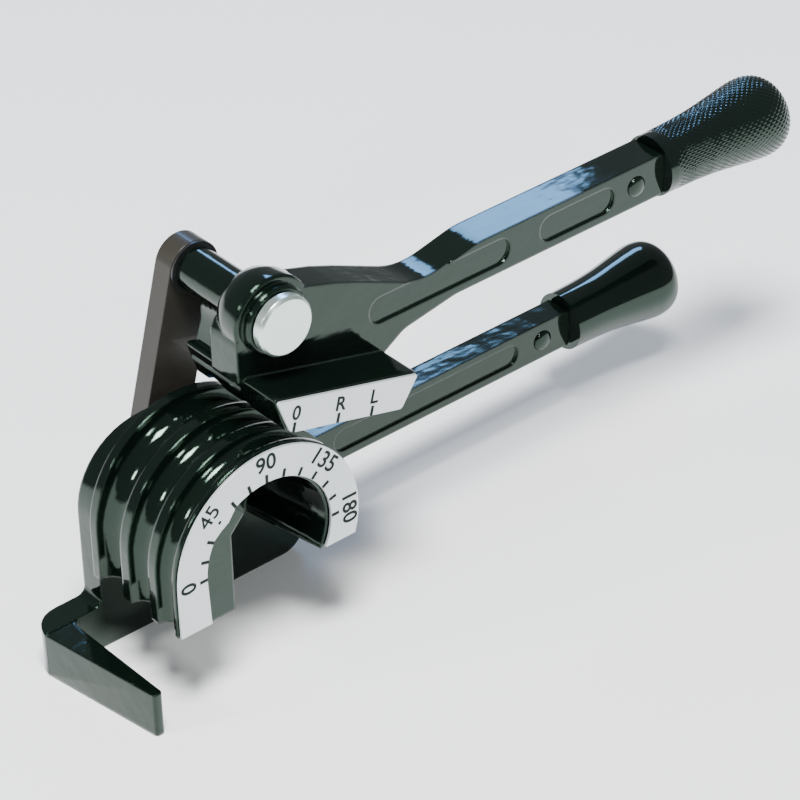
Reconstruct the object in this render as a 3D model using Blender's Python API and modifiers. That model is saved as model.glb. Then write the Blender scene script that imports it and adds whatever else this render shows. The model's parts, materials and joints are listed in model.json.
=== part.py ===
"""Hand tube bender for three tube sizes, bends up to 180 degrees.

A grooved forming die stands in front of a cast frame, which also carries the lower handle and the
hook that holds the tube. A link swings on the die's axis behind the frame. At its far end a pin
carries the forming handle, whose grooved shoe presses the tube round the die.

Tool frame: origin on the die's axis in the die's front plane, X along the handles, Y to the back,
Z up. The whole tool hangs from one empty, which puts the middle of the lower handle's flat back
face at the world's origin. All sizes are in metres.
"""

import math

import bmesh
import bpy
from mathutils import Vector

MM = 0.001

# Clearances and tessellation
GAP = 0.3 * MM
OVERRUN = 4.0 * MM
WELD = 0.01 * MM
ARC_STEP = math.radians(7.5)
FINE_STEP = math.radians(6.0)
TURN_STEPS = 32
SMALL_STEPS = 20
BORE_SIDES = 24

# Tubes that fit the grooves, front to back, and the ridges around them
TUBE_DIAMETERS = (6.35 * MM, 7.94 * MM, 9.53 * MM)
RIDGE_WIDTHS = (2.4 * MM, 2.8 * MM, 3.0 * MM, 2.6 * MM)

# Forming die
BEND_RADIUS = 27.6 * MM
PLATE_WIDTH = 8.8 * MM
CAVITY_RADIUS = BEND_RADIUS - PLATE_WIDTH
DIE_LEG = 13.8 * MM
DIE_END_DROP = 8.8 * MM
DIE_WALL_X = 10.5 * MM
DIE_WEB = 8.6 * MM
CAVITY_DRAFT_SHARE = 0.85
CAVITY_OPEN_ANGLE = math.radians(120)
CAVITY_NOSE_SHARES = ((-0.33, 0.686), (-0.558, 0.44))

# Marked plates
PLATE_THICKNESS = 0.8 * MM
PLATE_INSET = 0.3 * MM
PLATE_TAIL_SHARE = 0.66
PLATE_LEAD_ANGLE = math.radians(148)
PLATE_BULGE_SHARES = ((132, 0.93), (140, 0.965))

# Frame casting: back plate, hook bar and lower handle
FRAME_THICKNESS = 7.2 * MM
FRAME_LEFT = 25.7 * MM
FRAME_RIGHT = 21.0 * MM
FRAME_TOP = 20.0 * MM
FRAME_CORNER_SHARE = 0.8
HOOK_DROP = 36.9 * MM
HOOK_HEIGHT = 12.6 * MM
HOOK_REACH = 42.9 * MM
HOOK_TIP_THICKNESS = 2.6 * MM
HOOK_GAP = 7.2 * MM
HOOK_OVERHANG = 1.2 * MM
HOOK_CORNER = 8.0 * MM
HOOK_EDGE = 0.9 * MM
LOBE_REACH = 36.5 * MM
LOBE_CORNER = 7.0 * MM

# Handles
LOWER_TOP = -6.2 * MM
LOWER_BOTTOM = -16.9 * MM
LOWER_LENGTH = 128.0 * MM
UPPER_TOP = 46.3 * MM
UPPER_BOTTOM = 34.6 * MM
UPPER_LENGTH = 140.0 * MM
UPPER_FRONT = 12.9 * MM
UPPER_THICKNESS = 10.1 * MM
POCKET_DEPTH = 0.7 * MM
POCKET_RIM = 2.2 * MM
UPPER_PANEL_SPAN = (43.0 * MM, 88.0 * MM)
UPPER_RECESS_SPAN = (98.0 * MM, 123.0 * MM)
LOWER_RECESS_SPAN = (48.0 * MM, 110.0 * MM)

# Grips
UPPER_GRIP_LENGTH = 44.0 * MM
UPPER_GRIP_RADIUS = 11.0 * MM
LOWER_GRIP_LENGTH = 37.0 * MM
LOWER_GRIP_RADIUS = 10.6 * MM
GRIP_PROFILE_SHARES = (
    (1.0, 0.0), (0.99, 0.35), (0.955, 0.62), (0.9, 0.83), (0.82, 0.96), (0.73, 1.0),
    (0.62, 0.985), (0.5, 0.94), (0.36, 0.87), (0.2, 0.8), (0.05, 0.75), (0.0, 0.72),
)
SHANK_RADIUS = 2.4 * MM
SHANK_LENGTH = 15.0 * MM
CROSS_PIN_RADIUS = 1.6 * MM
CROSS_PIN_INSET = 9.5 * MM
CROSS_PIN_PROUD = 0.5 * MM
CROSS_PIN_CHAMFER = 0.5 * MM

# Link and its two pivots
REST_BEND_ANGLE = math.radians(104.8)
PIN_DISTANCE = 54.4 * MM
LINK_THICKNESS = 6.0 * MM
LINK_EYE_RADIUS = 11.0 * MM
LINK_END_RADIUS = 6.9 * MM
WASHER_THICKNESS = 0.5 * MM
CENTRE_PIN_RADIUS = 4.5 * MM
CENTRE_HEAD_RADIUS = 8.0 * MM
CENTRE_HEAD_THICKNESS = 2.6 * MM
CENTRE_WASHER_RADIUS = 8.4 * MM
CENTRE_PIN_BITE = 4.5 * MM
BUSH_WALL = 1.3 * MM
PIVOT_PIN_RADIUS = 2.9 * MM
PIVOT_BUSH_WALL = 0.9 * MM
PIVOT_HEAD_RADIUS = 7.9 * MM
PIVOT_HEAD_THICKNESS = 3.0 * MM
PIVOT_CHAMFER = 0.7 * MM
PIVOT_END = 2.2 * MM
RING_THICKNESS = 1.0 * MM
RING_RADIUS = 5.0 * MM
RING_GROOVE_DEPTH = 0.6 * MM
RING_SLOT = 2.4 * MM

# Fasteners between frame and die
SCREW_RADIUS = 2.0 * MM
SCREW_HEAD_RADIUS = 3.5 * MM
SCREW_HEAD_HEIGHT = 3.8 * MM
SCREW_SOCKET_RADIUS = 1.7 * MM
SCREW_SOCKET_DEPTH = 2.0 * MM
SCREW_BITE = 6.0 * MM
SCREW_RECESS = 0.5 * MM
SCREW_PLACE_SHARES = ((-0.62, -0.22), (0.02, 0.56), (0.50, -0.14))
DOWEL_RADIUS = 2.0 * MM
DOWEL_LENGTH = 10.0 * MM
DOWEL_PLACE_SHARES = ((-0.56, 0.28), (0.52, 0.36))

# Forming handle: eye, hub, web and shoe
EYE_RADIUS = 11.0 * MM
EYE_BACK_RADIUS = 8.3 * MM
EYE_BOSS_RADIUS = 9.0 * MM
EYE_BOSS_HEIGHT = 2.2 * MM
EYE_EDGE = 0.6 * MM
HUB_RADIUS = 5.7 * MM
WEB_SPREAD_SHARE = 1.7
WEB_FLARE_SHARES = ((-0.52, 1.0), (-0.56, 0.55), (-0.92, 0.0), (2.0, 0.0), (0.75, 0.5), (0.52, 1.0))
SHOE_RUNNING_GAP = 2.5 * MM
SHOE_HEIGHT = 9.4 * MM
SHOE_LEAD = 6.3 * MM
SHOE_LENGTH = 44.8 * MM
SHOE_LEFT_SLOPE = 5.9 * MM
SHOE_RIGHT_SLOPE = 3.3 * MM
SHOE_CORNER = 2.4 * MM
NECK_SPAN = 64.0 * MM
NECK_TOP_SHARES = (
    (0.15, 0.92, 0.06), (0.30, 0.66, 0.10), (0.41, 0.42, 0.25), (0.72, -0.34, 0.30), (1.0, 0.0, 0.30),
)
NECK_BOTTOM_SHARES = ((0.88, 0.0, 0.16), (0.62, -0.24, 0.10))

# Values that follow from the ones above
SWING = REST_BEND_ANGLE - math.pi / 2
PIN_X = PIN_DISTANCE * math.sin(SWING)
PIN_Z = PIN_DISTANCE * math.cos(SWING)
DIE_WIDTH = sum(TUBE_DIAMETERS) + sum(RIDGE_WIDTHS)
DIE_FRONT = PLATE_THICKNESS + GAP
FRAME_FRONT = DIE_WIDTH + GAP
FRAME_BACK = FRAME_FRONT + FRAME_THICKNESS
LINK_FRONT = FRAME_BACK + GAP + WASHER_THICKNESS + GAP
LINK_BACK = LINK_FRONT + LINK_THICKNESS
HUB_BACK = LINK_FRONT - GAP - WASHER_THICKNESS - GAP
UPPER_BACK = UPPER_FRONT + UPPER_THICKNESS
UPPER_MIDDLE_Z = (UPPER_TOP + UPPER_BOTTOM) / 2
LOWER_MIDDLE_Z = (LOWER_TOP + LOWER_BOTTOM) / 2
SHOE_BOTTOM = BEND_RADIUS + SHOE_RUNNING_GAP
SHOE_TOP = SHOE_BOTTOM + SHOE_HEIGHT
SHOE_END = SHOE_LENGTH - SHOE_LEAD
CAVITY_DEPTH = DIE_WIDTH - DIE_WEB
HOLD_X = (LOWER_RECESS_SPAN[0] + LOWER_LENGTH) / 2
HOLD_POINT = Vector((HOLD_X, FRAME_BACK, LOWER_MIDDLE_Z))

# Joint axes in the tool frame, by the body that turns on them
PIVOTS = {
    "frame": Vector((0, 0, 0)),
    "link": Vector((0, 0, 0)),
    "handle": Vector((PIN_X, 0, PIN_Z)),
}


def clear_scene():
    """Remove every object of the scene."""
    for item in list(bpy.data.objects):
        bpy.data.objects.remove(item, do_unlink=True)


def new_collection(name):
    """A new collection linked to the scene."""
    collection = bpy.data.collections.new(name)
    bpy.context.scene.collection.children.link(collection)
    return collection


def make_material(name, colour, roughness, metallic):
    """A Principled material."""
    material = bpy.data.materials.new(name)
    material.use_nodes = True
    shader = material.node_tree.nodes["Principled BSDF"]
    shader.inputs["Base Color"].default_value = (*colour, 1)
    shader.inputs["Roughness"].default_value = roughness
    shader.inputs["Metallic"].default_value = metallic
    return material


def make_pivots():
    """The tool's root empty and one empty on each body's joint axis."""
    root = bpy.data.objects.new("tool_root", None)
    root.location = -HOLD_POINT
    bpy.context.scene.collection.objects.link(root)
    empties = {}
    parents = {"frame": root, "link": root, "handle": None}
    for body, point in PIVOTS.items():
        empty = bpy.data.objects.new(body + "_axis", None)
        empty.parent = parents[body] or empties["link"]
        empty.location = point - (PIVOTS["link"] if body == "handle" else Vector((0, 0, 0)))
        bpy.context.scene.collection.objects.link(empty)
        empties[body] = empty
    return empties


def add_object(name, mesh, body, location=(0, 0, 0), rotation=(0, 0, 0), cutter=False):
    """Put a mesh into the model at a place of the tool frame, on one body."""
    item = bpy.data.objects.new(name, mesh)
    item.parent = EMPTIES[body]
    item.location = Vector(location) - PIVOTS[body]
    item.rotation_euler = rotation
    (CUTTERS if cutter else PARTS).objects.link(item)
    if cutter:
        item.hide_render = True
        item.display_type = "WIRE"
    return item


def closed_mesh(mesh):
    """Weld a mesh and turn its faces outwards."""
    work = bmesh.new()
    work.from_mesh(mesh)
    bmesh.ops.remove_doubles(work, verts=work.verts, dist=WELD)
    bmesh.ops.recalc_face_normals(work, faces=work.faces)
    work.to_mesh(mesh)
    work.free()
    return mesh


def mesh_of_curve(curve):
    """The closed mesh of a curve, which is removed."""
    item = bpy.data.objects.new(curve.name, curve)
    bpy.context.scene.collection.objects.link(item)
    evaluated = item.evaluated_get(bpy.context.evaluated_depsgraph_get())
    mesh = bpy.data.meshes.new_from_object(evaluated)
    bpy.data.objects.remove(item, do_unlink=True)
    bpy.data.curves.remove(curve)
    return closed_mesh(mesh)


def outline_mesh(name, points, thickness):
    """A flat outline with half its thickness to each side."""
    curve = bpy.data.curves.new(name, "CURVE")
    curve.dimensions = "2D"
    curve.fill_mode = "BOTH"
    curve.extrude = thickness / 2
    spline = curve.splines.new("POLY")
    spline.points.add(len(points) - 1)
    for point, (x, y) in zip(spline.points, points):
        point.co = (x, y, 0, 1)
    spline.use_cyclic_u = True
    return mesh_of_curve(curve)


def front_plate(name, points, front, back, body, cutter=False):
    """A plate whose outline is seen from the front, between two depths."""
    mesh = outline_mesh(name, points, back - front)
    middle = (front + back) / 2
    return add_object(name, mesh, body, (0, middle, 0), (math.pi / 2, 0, 0), cutter)


def arc(centre, radius, start, end, step=ARC_STEP):
    """Points of an arc from one angle to another, both ends included."""
    count = max(2, round(abs(end - start) / step))
    turns = [start + (end - start) * i / count for i in range(count + 1)]
    return [(centre[0] + radius * math.cos(t), centre[1] + radius * math.sin(t)) for t in turns]


def rounded(corners):
    """Points of a closed outline whose corners (x, y, radius) are rounded off."""
    points = []
    for index, (x, y, radius) in enumerate(corners):
        corner = Vector((x, y))
        before = Vector(corners[index - 1][:2]) - corner
        after = Vector(corners[(index + 1) % len(corners)][:2]) - corner
        angle = before.angle(after, math.pi)
        if radius <= 0 or math.pi - angle < ARC_STEP / 4:
            points.append((x, y))
            continue
        reach = radius / math.tan(angle / 2)
        limit = min(before.length, after.length) * 0.49
        radius *= min(1, limit / reach)
        reach = min(reach, limit)
        start = corner + before.normalized() * reach
        end = corner + after.normalized() * reach
        inward = (before.normalized() + after.normalized()).normalized()
        centre = corner + inward * radius / math.sin(angle / 2)
        first = math.atan2(start.y - centre.y, start.x - centre.x)
        turn = math.atan2(end.y - centre.y, end.x - centre.x) - first
        turn = (turn + math.pi) % (2 * math.pi) - math.pi
        points += arc(centre, radius, first, first + turn)
    return points


def turned(name, profile, body, location, steps=TURN_STEPS, along="Y", closed=False, cutter=False):
    """A turned piece: profile of (radius, place along the axis), outer side from high to low."""
    mesh = bpy.data.meshes.new(name)
    edges = [(i, i + 1) for i in range(len(profile) - 1)]
    if closed:
        edges.append((len(profile) - 1, 0))
    mesh.from_pydata([(radius, 0, place) for radius, place in profile], edges, [])
    rotation = (-math.pi / 2, 0, 0) if along == "Y" else (0, math.pi / 2, 0)
    item = add_object(name, mesh, body, location, rotation, cutter)
    screw = item.modifiers.new("turn", "SCREW")
    screw.axis = "Z"
    screw.steps = steps
    screw.render_steps = steps
    screw.use_merge_vertices = True
    screw.merge_threshold = WELD
    screw.use_smooth_shade = True
    return item


def rod(name, radius, front, back, body, place, steps=BORE_SIDES, cutter=True):
    """A plain round rod or bore along Y at a place (x, z)."""
    profile = [(0, back), (radius, back), (radius, front), (0, front)]
    return turned(name, profile, body, (place[0], 0, place[1]), steps, cutter=cutter)


def ring(name, inner, outer, front, back, body, place, steps=TURN_STEPS):
    """A washer or bush along Y at a place (x, z)."""
    profile = [(outer, back), (outer, front), (inner, front), (inner, back)]
    return turned(name, profile, body, (place[0], 0, place[1]), steps, closed=True)


def combine(target, tool, operation):
    """Add a Boolean with the exact solver."""
    modifier = target.modifiers.new(operation.lower() + "_" + tool.name, "BOOLEAN")
    modifier.operation = operation
    modifier.solver = "EXACT"
    modifier.object = tool


def cut(target, *tools):
    """Cut tools out of a piece."""
    for tool in tools:
        combine(target, tool, "DIFFERENCE")


def join(target, *tools):
    """Join tools to a piece as one body."""
    for tool in tools:
        combine(target, tool, "UNION")


def finish(item, material):
    """Give a piece its material and smooth round faces."""
    item.data.materials.clear()
    item.data.materials.append(material)
    item.data.shade_smooth()
    item.data.set_sharp_from_angle(angle=math.radians(35))


def bend_point(along, out):
    """The front view's point at a place along the shoe and out from the die's axis."""
    x = along * math.cos(SWING) + out * math.sin(SWING)
    z = out * math.cos(SWING) - along * math.sin(SWING)
    return x, z


def groove_centres():
    """Depth of each groove's middle."""
    centres = []
    place = RIDGE_WIDTHS[0]
    for diameter, ridge in zip(TUBE_DIAMETERS, RIDGE_WIDTHS[1:]):
        centres.append(place + diameter / 2)
        place += diameter + ridge
    return centres


def die_end_angle(radius):
    """Angle at which a circle about the axis reaches the 180 degree end."""
    return -math.asin(DIE_END_DROP / radius)


def share_places(shares):
    """Places in the front view, as shares of the bend radius."""
    return [(x * BEND_RADIUS, z * BEND_RADIUS) for x, z in shares]


def groove_tube(index, depth, diameter):
    """A tube that lies in one groove of the die, as its cutter."""
    curve = bpy.data.curves.new(f"die_groove_{index}", "CURVE")
    curve.dimensions = "3D"
    curve.bevel_depth = diameter / 2
    curve.bevel_resolution = 5
    curve.use_fill_caps = True
    path = [(-BEND_RADIUS, -DIE_LEG - OVERRUN)]
    path += arc((0, 0), BEND_RADIUS, math.pi, die_end_angle(BEND_RADIUS) - FINE_STEP * 2, FINE_STEP)
    spline = curve.splines.new("POLY")
    spline.points.add(len(path) - 1)
    for point, (x, z) in zip(spline.points, path):
        point.co = (x, depth, z, 1)
    return add_object(curve.name, mesh_of_curve(curve), "frame", cutter=True)


def cavity_cutter():
    """The hollow behind the degree plate, drawn in towards its floor."""
    nose = [(x * CAVITY_RADIUS, z * CAVITY_RADIUS) for x, z in CAVITY_NOSE_SHARES]
    floor = -DIE_LEG - OVERRUN * 2
    points = arc((0, 0), CAVITY_RADIUS, die_end_angle(CAVITY_RADIUS), CAVITY_OPEN_ANGLE, FINE_STEP)
    low_x = points[0][0]
    points += nose
    points += [(-DIE_WALL_X, floor), (low_x, floor)]
    item = front_plate("die_cavity", points, -OVERRUN, CAVITY_DEPTH, "frame", cutter=True)
    for vertex in item.data.vertices:
        if vertex.co.z < 0:
            vertex.co.x = (vertex.co.x + DIE_WALL_X) * CAVITY_DRAFT_SHARE - DIE_WALL_X
            vertex.co.y *= CAVITY_DRAFT_SHARE
    return item


def make_die(material):
    """The forming die: three grooves round a half circle and a straight lead-in."""
    end = die_end_angle(BEND_RADIUS)
    points = [(-BEND_RADIUS, -DIE_LEG)]
    points += arc((0, 0), BEND_RADIUS, math.pi, end, FINE_STEP)
    points += [(CAVITY_RADIUS * math.cos(end), -DIE_END_DROP), (-DIE_WALL_X, -DIE_LEG)]
    die = front_plate("forming_die", points, DIE_FRONT, DIE_WIDTH, "frame")
    cut(die, cavity_cutter())
    for index, (depth, diameter) in enumerate(zip(groove_centres(), TUBE_DIAMETERS)):
        cut(die, groove_tube(index, depth, diameter))
    finish(die, material)
    return die


def make_degree_plate(material):
    """The thin plate with the bend scale on the die's front."""
    outer = BEND_RADIUS - PLATE_INSET
    tail = -DIE_LEG + PLATE_INSET
    end = -DIE_END_DROP + PLATE_INSET
    start = math.asin(end / outer)
    points = [(-outer, tail)]
    points += arc((0, 0), outer, math.pi, start, FINE_STEP)
    inner = arc((0, 0), CAVITY_RADIUS, math.asin(end / CAVITY_RADIUS), CAVITY_OPEN_ANGLE, FINE_STEP)
    bulge = []
    for degrees, share in PLATE_BULGE_SHARES:
        turn = math.radians(degrees)
        bulge.append((CAVITY_RADIUS * share * math.cos(turn), CAVITY_RADIUS * share * math.sin(turn)))
    lead = arc((0, 0), CAVITY_RADIUS, PLATE_LEAD_ANGLE, math.pi, FINE_STEP)
    points += inner + bulge + lead + [(-BEND_RADIUS * PLATE_TAIL_SHARE, tail)]
    plate = front_plate("degree_plate", points, 0, PLATE_THICKNESS, "frame")
    finish(plate, material)


def frame_outline():
    """Front view of the back plate with the hook's bar and the lower handle."""
    bottom = -HOOK_DROP
    bar_top = bottom + HOOK_HEIGHT
    return rounded([
        (-HOOK_REACH, bottom, HOOK_EDGE),
        (LOBE_REACH, bottom, LOBE_CORNER),
        (LOBE_REACH + LOBE_CORNER / 4, LOWER_BOTTOM, LOBE_CORNER),
        (LOWER_LENGTH, LOWER_BOTTOM, HOOK_EDGE),
        (LOWER_LENGTH, LOWER_TOP, HOOK_EDGE),
        (FRAME_RIGHT, LOWER_TOP, LOBE_CORNER / 2),
        (FRAME_RIGHT, FRAME_TOP, FRAME_TOP * FRAME_CORNER_SHARE),
        (-FRAME_LEFT, FRAME_TOP, FRAME_TOP),
        (-FRAME_LEFT, bar_top, HOOK_GAP / 3),
        (-HOOK_REACH, bar_top, HOOK_EDGE),
    ])


def hook_arm():
    """The hook's arm, which reaches forward past the die's lead-in and thins to its tip."""
    tip = -HOOK_OVERHANG
    inner = -BEND_RADIUS - HOOK_GAP
    fillet = HOOK_GAP / 3
    root = FRAME_FRONT + GAP * 3
    outline = rounded([
        (-HOOK_REACH + GAP / 10, root, 0),
        (inner - HOOK_TIP_THICKNESS, tip, HOOK_EDGE),
        (inner, tip, HOOK_EDGE),
        (inner, FRAME_FRONT + GAP / 10, fillet),
        (inner + fillet * 3, FRAME_FRONT + GAP / 5, 0),
        (inner + fillet * 3, root, 0),
    ])
    mesh = outline_mesh("hook_arm", outline, HOOK_HEIGHT - GAP * 2)
    middle = -HOOK_DROP + HOOK_HEIGHT / 2
    return add_object("hook_arm", mesh, "frame", (0, 0, middle), cutter=True)


def hook_corner():
    """What is cut away to round the corner between the hook's bar and its arm."""
    radius = HOOK_CORNER
    centre = (-HOOK_REACH + radius, FRAME_BACK - radius)
    left = -HOOK_REACH - OVERRUN
    back = FRAME_BACK + OVERRUN
    outline = arc(centre, radius - GAP / 10, math.pi / 2, math.pi, FINE_STEP * 2)
    outline += [(left, centre[1]), (left, back), (centre[0], back)]
    mesh = outline_mesh("hook_corner", outline, HOOK_HEIGHT + OVERRUN * 2)
    middle = -HOOK_DROP + HOOK_HEIGHT / 2
    return add_object("hook_corner", mesh, "frame", (0, 0, middle), cutter=True)


def pocket(name, span, middle, height, front, body, depth=POCKET_DEPTH):
    """A shallow recess with round ends in a handle's front face."""
    half = height / 2 - POCKET_RIM
    outline = rounded([
        (span[0], middle - half, half),
        (span[1], middle - half, half),
        (span[1], middle + half, half),
        (span[0], middle + half, half),
    ])
    return front_plate(name, outline, front - OVERRUN, front + depth, body, cutter=True)


def shank_bore(name, length, middle, depth, body):
    """The bore in a handle's end that takes its grip's shank."""
    radius = SHANK_RADIUS + GAP
    profile = [(0, length + OVERRUN), (radius, length + OVERRUN)]
    profile += [(radius, length - SHANK_LENGTH - GAP), (0, length - SHANK_LENGTH - GAP)]
    return turned(name, profile, body, (0, depth, middle), BORE_SIDES, "X", cutter=True)


def make_frame(material):
    """The frame casting: back plate, hook and lower handle in one piece."""
    frame = front_plate("frame_casting", frame_outline(), FRAME_FRONT, FRAME_BACK, "frame")
    join(frame, hook_arm())
    cut(frame, hook_corner())
    front = FRAME_FRONT - OVERRUN
    back = FRAME_BACK + OVERRUN
    cut(frame, rod("frame_pin_bore", CENTRE_PIN_RADIUS + GAP, front, back, "frame", (0, 0)))
    seat = FRAME_BACK - SCREW_RECESS - SCREW_HEAD_HEIGHT - GAP
    head = SCREW_HEAD_RADIUS + GAP
    hole = SCREW_RADIUS + GAP
    stepped = [(0, back), (head, back), (head, seat), (hole, seat), (hole, front), (0, front)]
    for index, (x, z) in enumerate(share_places(SCREW_PLACE_SHARES)):
        name = f"frame_screw_hole_{index}"
        cut(frame, turned(name, stepped, "frame", (x, 0, z), SMALL_STEPS, cutter=True))
    for index, place in enumerate(share_places(DOWEL_PLACE_SHARES)):
        cut(frame, rod(f"frame_dowel_hole_{index}", DOWEL_RADIUS + GAP, front, back, "frame", place))
    height = LOWER_TOP - LOWER_BOTTOM
    cut(frame, pocket("lower_recess", LOWER_RECESS_SPAN, LOWER_MIDDLE_Z, height, FRAME_FRONT, "frame"))
    depth = (FRAME_FRONT + FRAME_BACK) / 2
    cut(frame, shank_bore("lower_shank_bore", LOWER_LENGTH, LOWER_MIDDLE_Z, depth, "frame"))
    place = (LOWER_LENGTH - CROSS_PIN_INSET, LOWER_MIDDLE_Z)
    cut(frame, rod("lower_cross_hole", CROSS_PIN_RADIUS + GAP, front, back, "frame", place))
    finish(frame, material)


def cut_die_holes(die):
    """Blind holes in the die's back for its screws, dowels and the centre pin."""
    back = DIE_WIDTH + OVERRUN
    screw_floor = DIE_WIDTH - SCREW_BITE - GAP
    dowel_floor = DIE_WIDTH - DOWEL_LENGTH / 2 - GAP
    pin_floor = DIE_WIDTH - CENTRE_PIN_BITE - GAP
    for index, place in enumerate(share_places(SCREW_PLACE_SHARES)):
        name = f"die_screw_hole_{index}"
        cut(die, rod(name, SCREW_RADIUS + GAP, screw_floor, back, "frame", place))
    for index, place in enumerate(share_places(DOWEL_PLACE_SHARES)):
        name = f"die_dowel_hole_{index}"
        cut(die, rod(name, DOWEL_RADIUS + GAP, dowel_floor, back, "frame", place))
    cut(die, rod("die_pin_hole", CENTRE_PIN_RADIUS + GAP, pin_floor, back, "frame", (0, 0)))


def make_screws(material):
    """Three socket screws from the frame's back into the die."""
    top = FRAME_BACK - SCREW_RECESS
    shoulder = top - SCREW_HEAD_HEIGHT
    profile = [
        (0, top - SCREW_SOCKET_DEPTH),
        (SCREW_SOCKET_RADIUS, top - SCREW_SOCKET_DEPTH),
        (SCREW_SOCKET_RADIUS, top),
        (SCREW_HEAD_RADIUS, top),
        (SCREW_HEAD_RADIUS, shoulder),
        (SCREW_RADIUS, shoulder),
        (SCREW_RADIUS, DIE_WIDTH - SCREW_BITE),
        (0, DIE_WIDTH - SCREW_BITE),
    ]
    for index, (x, z) in enumerate(share_places(SCREW_PLACE_SHARES), 1):
        screw = turned(f"die_screw_{index}", profile, "frame", (x, 0, z), SMALL_STEPS)
        finish(screw, material)


def make_dowels(material):
    """Two dowels that line the die up with the frame."""
    front = DIE_WIDTH - DOWEL_LENGTH / 2
    back = front + DOWEL_LENGTH
    for index, place in enumerate(share_places(DOWEL_PLACE_SHARES), 1):
        name = f"die_dowel_{index}"
        dowel = rod(name, DOWEL_RADIUS, front, back, "frame", place, SMALL_STEPS, False)
        finish(dowel, material)


def make_centre_pivot(steel, bronze):
    """Pin, washers and bush on which the link swings."""
    bush_radius = CENTRE_PIN_RADIUS + GAP + BUSH_WALL
    washer_front = FRAME_BACK + GAP
    ring("centre_thrust_washer", CENTRE_PIN_RADIUS + GAP, CENTRE_WASHER_RADIUS, washer_front,
         washer_front + WASHER_THICKNESS, "frame", (0, 0))
    washer_back = LINK_BACK + GAP
    ring("centre_back_washer", CENTRE_PIN_RADIUS + GAP, CENTRE_WASHER_RADIUS, washer_back,
         washer_back + WASHER_THICKNESS, "frame", (0, 0))
    ring("link_bush", CENTRE_PIN_RADIUS + GAP, bush_radius, LINK_FRONT, LINK_BACK, "link", (0, 0))
    head_front = washer_back + WASHER_THICKNESS + GAP
    head_back = head_front + CENTRE_HEAD_THICKNESS
    edge = PIVOT_CHAMFER
    profile = [
        (0, head_back),
        (CENTRE_HEAD_RADIUS - edge, head_back),
        (CENTRE_HEAD_RADIUS, head_back - edge),
        (CENTRE_HEAD_RADIUS, head_front),
        (CENTRE_PIN_RADIUS, head_front),
        (CENTRE_PIN_RADIUS, DIE_WIDTH - CENTRE_PIN_BITE),
        (0, DIE_WIDTH - CENTRE_PIN_BITE),
    ]
    turned("centre_pin", profile, "frame", (0, 0, 0))
    for name in ("centre_thrust_washer", "centre_back_washer", "centre_pin"):
        finish(bpy.data.objects[name], steel)
    finish(bpy.data.objects["link_bush"], bronze)


def link_outline():
    """Front view of the link: a large eye on the die's axis and a slim bar to the handle's pin."""
    upward = math.pi / 2
    spread = math.asin(LINK_END_RADIUS / LINK_EYE_RADIUS)
    local = arc((0, 0), LINK_EYE_RADIUS, upward + spread, upward + 2 * math.pi - spread)
    local += arc((0, PIN_DISTANCE), LINK_END_RADIUS, 0, math.pi)
    return [bend_point(x, y) for x, y in local]


def make_link(material):
    """The link bar, with bores for its bush and for the handle's pin."""
    link = front_plate("link_bar", link_outline(), LINK_FRONT, LINK_BACK, "link")
    front = LINK_FRONT - OVERRUN
    back = LINK_BACK + OVERRUN
    bush_bore = CENTRE_PIN_RADIUS + GAP + BUSH_WALL + GAP
    cut(link, rod("link_bush_bore", bush_bore, front, back, "link", (0, 0)))
    cut(link, rod("link_pin_bore", PIVOT_PIN_RADIUS + GAP, front, back, "link", (PIN_X, PIN_Z)))
    finish(link, material)


def make_handle_pivot(silver, steel, bronze):
    """The bright pin of the forming handle, with its bush, washer and retaining ring."""
    place = (PIN_X, PIN_Z)
    head_back = UPPER_FRONT - EYE_BOSS_HEIGHT - GAP
    head_front = head_back - PIVOT_HEAD_THICKNESS
    ring_front = LINK_BACK + GAP
    neck = PIVOT_PIN_RADIUS - RING_GROOVE_DEPTH
    ring_back = ring_front + RING_THICKNESS
    profile = [
        (0, ring_back + PIVOT_END),
        (PIVOT_PIN_RADIUS - PIVOT_CHAMFER, ring_back + PIVOT_END),
        (PIVOT_PIN_RADIUS, ring_back + PIVOT_END - PIVOT_CHAMFER),
        (PIVOT_PIN_RADIUS, ring_back + GAP),
        (neck, ring_back + GAP),
        (neck, ring_front - GAP / 2),
        (PIVOT_PIN_RADIUS, ring_front - GAP / 2),
        (PIVOT_PIN_RADIUS, head_back),
        (PIVOT_HEAD_RADIUS, head_back),
        (PIVOT_HEAD_RADIUS, head_front + PIVOT_CHAMFER),
        (PIVOT_HEAD_RADIUS - PIVOT_CHAMFER, head_front),
        (0, head_front),
    ]
    pin = turned("pivot_pin", profile, "link", (PIN_X, 0, PIN_Z))
    finish(pin, silver)
    clip = ring("pivot_ring", neck + GAP, RING_RADIUS, ring_front, ring_back, "link", place)
    slot = [(-RING_SLOT / 2, 0), (RING_SLOT / 2, 0)]
    slot += [(RING_SLOT / 2, RING_RADIUS + OVERRUN), (-RING_SLOT / 2, RING_RADIUS + OVERRUN)]
    slot = [(PIN_X + x, PIN_Z + z) for x, z in slot]
    cut(clip, front_plate("ring_slot", slot, ring_front - OVERRUN, ring_back + OVERRUN, "link", True))
    finish(clip, steel)
    washer_front = HUB_BACK + GAP
    washer = ring("pivot_thrust_washer", PIVOT_PIN_RADIUS + GAP, LINK_END_RADIUS, washer_front,
                  washer_front + WASHER_THICKNESS, "link", place)
    finish(washer, steel)
    inner = PIVOT_PIN_RADIUS + GAP
    front = UPPER_FRONT - EYE_BOSS_HEIGHT
    bush = ring("pivot_bush", inner, inner + PIVOT_BUSH_WALL, front, HUB_BACK, "handle", place)
    finish(bush, bronze)


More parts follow.
